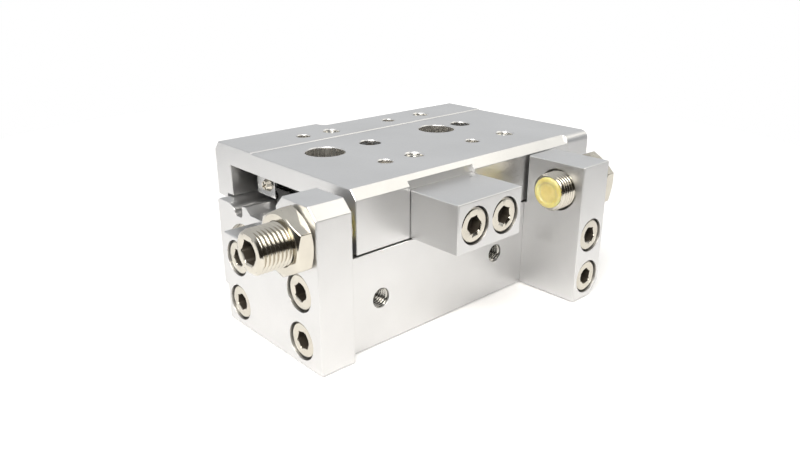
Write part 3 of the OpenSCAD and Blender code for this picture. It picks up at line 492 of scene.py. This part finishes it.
def thread_sleeve(name, node, mouth, inwards, radius, length, recess):
    """Female M5 thread: a thin sleeve whose inside carries the thread, set into a plain CAD hole."""
    gap, wall = 0.005 * MM, 0.03 * MM
    fade = M5_PITCH / 2
    outer = radius - gap
    root = outer - wall
    crest = root - INNER_THREAD_DEPTH * M5_PITCH
    deep = recess + length
    place = axis_matrix(mouth, inwards)

    def faded(reach, z):
        return max(reach, root - min((z - recess) / fade, 1.0) * (root - crest))

    bm = bmesh.new()
    helix_wall(bm, place, recess, deep, M5_PITCH, rolled_thread(crest, root), faded, SLEEVE_SIDES)
    outside = ((deep, crest), (deep, outer), (recess, outer), (recess, root))
    skin(bm, place, [ring(height, reach, SLEEVE_SIDES) for height, reach in outside],
         closed=(False, False))
    bmesh.ops.remove_doubles(bm, verts=bm.verts, dist=WELD)
    obj = from_bmesh(name, bm, 50)
    dress(obj, node, ("cut_thread",))


def port_threads():
    """Threads in the two air ports."""
    for name in ("port_rear", "port_front"):
        mount = MOUNTS[name]
        thread_sleeve(name + "_thread", "cylinder_body", mount["pos_m"], (0, 1, 0),
                      mount["dims"]["r_mm"] * MM, length=7.2 * MM, recess=0.45 * MM)


def load_threads():
    """Threads in the table's four load holes; the far two start in its raised strip."""
    mount = MOUNTS["table_threads"]
    centre, dims = Vector(mount["pos_m"]), mount["dims"]
    raised_z = MOUNTS["table_top"]["pos_m"][2]
    for i, along in ((-1, "rear"), (1, "front")):
        for j, across in ((-1, "near"), (1, "far")):
            x = centre.x + i * dims["spacing_x_mm"] * MM / 2
            y = centre.y + j * dims["spacing_y_mm"] * MM / 2
            top = raised_z if j > 0 else centre.z
            thread_sleeve(f"table_thread_{across}_{along}", "table", (x, y, top), (0, 0, -1),
                          dims["hole_r_mm"] * MM, length=4.2 * MM, recess=0.7 * MM)


# ---------------------------------------------------------------- bumpers

def bumper(node, towards):
    """Urethane bumper: dished face with a rounded rim, and the stem that sits in the bolt."""
    length, radius, place = turned_piece(node, towards)
    stem_r, stem_length, seat_gap = 2.5 * MM, 3.94 * MM, 0.05 * MM
    back = length - stem_length - seat_gap
    back_chamfer, rim = 0.1 * MM, 0.5 * MM
    dish_r, dish_slope, dish_depth = radius - 1.1 * MM, 0.5 * MM, 0.35 * MM
    slope_steps = 4
    stem_tip_r = stem_r * 0.05
    half_way, middle = (dish_depth * 1.05, dish_r * 0.5), (dish_depth * 1.1, dish_r * 0.03)

    rings = [ring(length, stem_tip_r), ring(length, stem_r), ring(back, stem_r),
             ring(back, radius - back_chamfer), ring(back - back_chamfer, radius)]
    rings += rounded_rim(0, radius, rim, steps=5, up=-1)
    for s in (k / slope_steps for k in range(slope_steps + 1)):
        rings.append(ring(dish_depth / 2 * (1 - math.cos(math.pi * s)), dish_r - dish_slope * s))
    rings += [ring(*half_way), ring(*middle)]
    bm = bmesh.new()
    skin(bm, place, rings)
    obj = from_bmesh(node + "_moulded", bm, 60)
    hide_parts(node)
    dress(obj, node)


# ---------------------------------------------------------------- studio

def make_camera():
    """Camera at the photograph's viewing angle."""
    look_down, heading = 20.286, -42.314
    camera = bpy.data.cameras.new("camera")
    camera.sensor_width = 36
    camera.lens = 31.932
    camera.clip_start = 0.01
    obj = link(bpy.data.objects.new("camera", camera))
    obj.location = (-0.128003, -0.146537, 0.086078)
    obj.rotation_euler = (math.radians(90 - look_down), 0, math.radians(heading))
    bpy.context.scene.camera = obj


def paper_material():
    """White paper that is blown out to the camera away from the object, and brighter in the metal."""
    near_glow, far_glow, mirrored_glow = 0.12, 0.50, 0.12
    glow_start, glow_end = 0.10, 0.19
    material = bpy.data.materials.new("paper")
    material.use_nodes = True
    tree = material.node_tree
    paper = tree.nodes["Principled BSDF"]
    plug(tree, paper, {
        "Base Color": (0.86, 0.855, 0.85, 1), "Roughness": 0.9, "Specular IOR Level": 0.1})
    path = shader_node(tree, "LightPath")
    coords = shader_node(tree, "TexCoord")
    radius = shader_node(tree, "VectorMath", {0: coords.outputs["Object"]}, operation="LENGTH")
    # The glow grows with the distance, so the paper's rim doesn't show
    grown = spread(tree, radius.outputs["Value"], near_glow, far_glow, glow_start, glow_end)
    shown = shader_node(tree, "Math", {0: path.outputs["Is Camera Ray"], 1: grown}, operation="MULTIPLY")
    strength = shader_node(tree, "Math", {
        0: path.outputs["Is Glossy Ray"], 1: mirrored_glow, 2: shown.outputs["Value"]},
        operation="MULTIPLY_ADD")
    glow = shader_node(tree, "Emission", {"Strength": strength.outputs["Value"]})
    both = shader_node(tree, "AddShader", {0: paper.outputs["BSDF"], 1: glow.outputs["Emission"]})
    plug(tree, tree.nodes["Material Output"], {"Surface": both.outputs["Shader"]})
    return material


def make_floor():
    """Round sheet of paper just under the mounting face, which keeps the object's soft shadow."""
    sheet_r, gap = 0.22, 0.35 * MM
    bm = bmesh.new()
    bmesh.ops.create_circle(bm, cap_ends=True, radius=sheet_r, segments=SIDES)
    obj = from_bmesh("floor", bm)
    obj.location = (0.05, 0.06, -gap)
    obj.data.materials.append(paper_material())


def make_world():
    """White to the camera; to the object a plain room, pale behind it and dim near the horizon in front."""
    dark_side, pale_side = -0.50, -0.05
    world = bpy.data.worlds.new("room")
    bpy.context.scene.world = world
    world.use_nodes = True
    tree = world.node_tree
    coords = shader_node(tree, "TexCoord")
    split = shader_node(tree, "SeparateXYZ", {"Vector": coords.outputs["Generated"]})
    behind = color_ramp(tree, split.outputs["Z"], (
        (0.0, (0.76, 0.77, 0.78)), (0.55, (0.76, 0.77, 0.78)), (1.0, (0.75, 0.76, 0.78))))
    front = color_ramp(tree, split.outputs["Z"], (
        (0.0, (0.03, 0.025, 0.02)), (0.42, (0.04, 0.035, 0.03)),
        (0.60, (0.42, 0.41, 0.40)), (1.0, (0.66, 0.67, 0.69))))
    # The dark side of the room lies towards -Y and, half as much, -X
    lean = shader_node(tree, "Math", {0: split.outputs["X"], 1: 0.5, 2: split.outputs["Y"]},
                       operation="MULTIPLY_ADD")
    side = spread(tree, lean.outputs["Value"], 0.0, 1.0, dark_side, pale_side)
    room = shader_node(tree, "Mix", {"Factor": side, "A": front, "B": behind}, data_type="RGBA")
    path = shader_node(tree, "LightPath")
    shown = shader_node(tree, "Mix", {
        "Factor": path.outputs["Is Camera Ray"], "A": room.outputs["Result"], "B": (1, 1, 1, 1)},
        data_type="RGBA")
    plug(tree, tree.nodes["Background"], {"Color": shown.outputs["Result"]})


def area_light(name, direction, distance, size, power, color):
    """Square soft light that looks at the object's middle from a direction."""
    middle = Vector((0, 0, 0.02))
    lamp = bpy.data.lights.new(name, "AREA")
    lamp.size = size
    lamp.energy = power
    lamp.color = color
    obj = link(bpy.data.objects.new(name, lamp))
    towards = Vector(direction).normalized()
    obj.location = middle + towards * distance
    obj.rotation_euler = towards.to_track_quat("Z", "Y").to_euler()


def make_lights():
    """A warm key light behind the camera's left shoulder, and one that the top bevels mirror."""
    area_light("key", (-0.60, -0.48, 0.75), distance=0.40, size=0.30, power=2.12,
               color=(1.0, 0.97, 0.92))
    area_light("gleam", (0.60, -0.37, 0.71), distance=0.80, size=0.46, power=0.90,
               color=(1.0, 0.94, 0.80))


# ---------------------------------------------------------------- build

bpy.context.scene.view_settings.view_transform = "Standard"
materials = {name: finish_material(name, **looks) for name, looks in FINISHES.items()}
make_translucent(materials["urethane"])

for name, obj in NODES.items():
    for slot in obj.material_slots:
        slot.material = materials[SLOT_OF[name]]

make_camera()
make_world()
make_lights()
make_floor()

# The table's bore walls take the brighter finish, which is painted light
bevelled("table", EDGE, mark=mark_bores, second="bore_painted_light")
# Painted shade: the rail's end faces are given black steel so that they look as dark as the shaded rear
# opening; in their own colour one would show too light there
bevelled("guide_rail", RAIL_EDGE, mark=mark_ends, second="black_steel")
for node in ("cylinder_body", "end_plate", "rear_stop_block", "front_stop_block", "stopper"):
    bevelled(node, EDGE)
for node in ("rear_lock_nut", "front_lock_nut"):
    bevelled(node, NUT_EDGE, angle=20)

cap_screws("rear_block_screws", (-1, 0, 0), M5, (12, 40, 25, 5))
cap_screws("front_block_screws", (0, -1, 0), M5, (20, 48))
cap_screws("stopper_screws", (0, -1, 0), M5, (8, 35))
cap_screws("end_plate_screws", (1, 0, 0), M3, (10, 33, 50, 22))
cap_screws("rod_end_screws", (1, 0, 0), M3, (15, 42))
cap_screws("guide_screws", (0, 0, 1), M3, (18, 44))

adjuster_bolt("rear_adjuster_bolt", -1)
adjuster_bolt("front_adjuster_bolt", 1)
port_threads()
load_threads()
bumper("rear_bumper", -1)
bumper("front_bumper", 1)
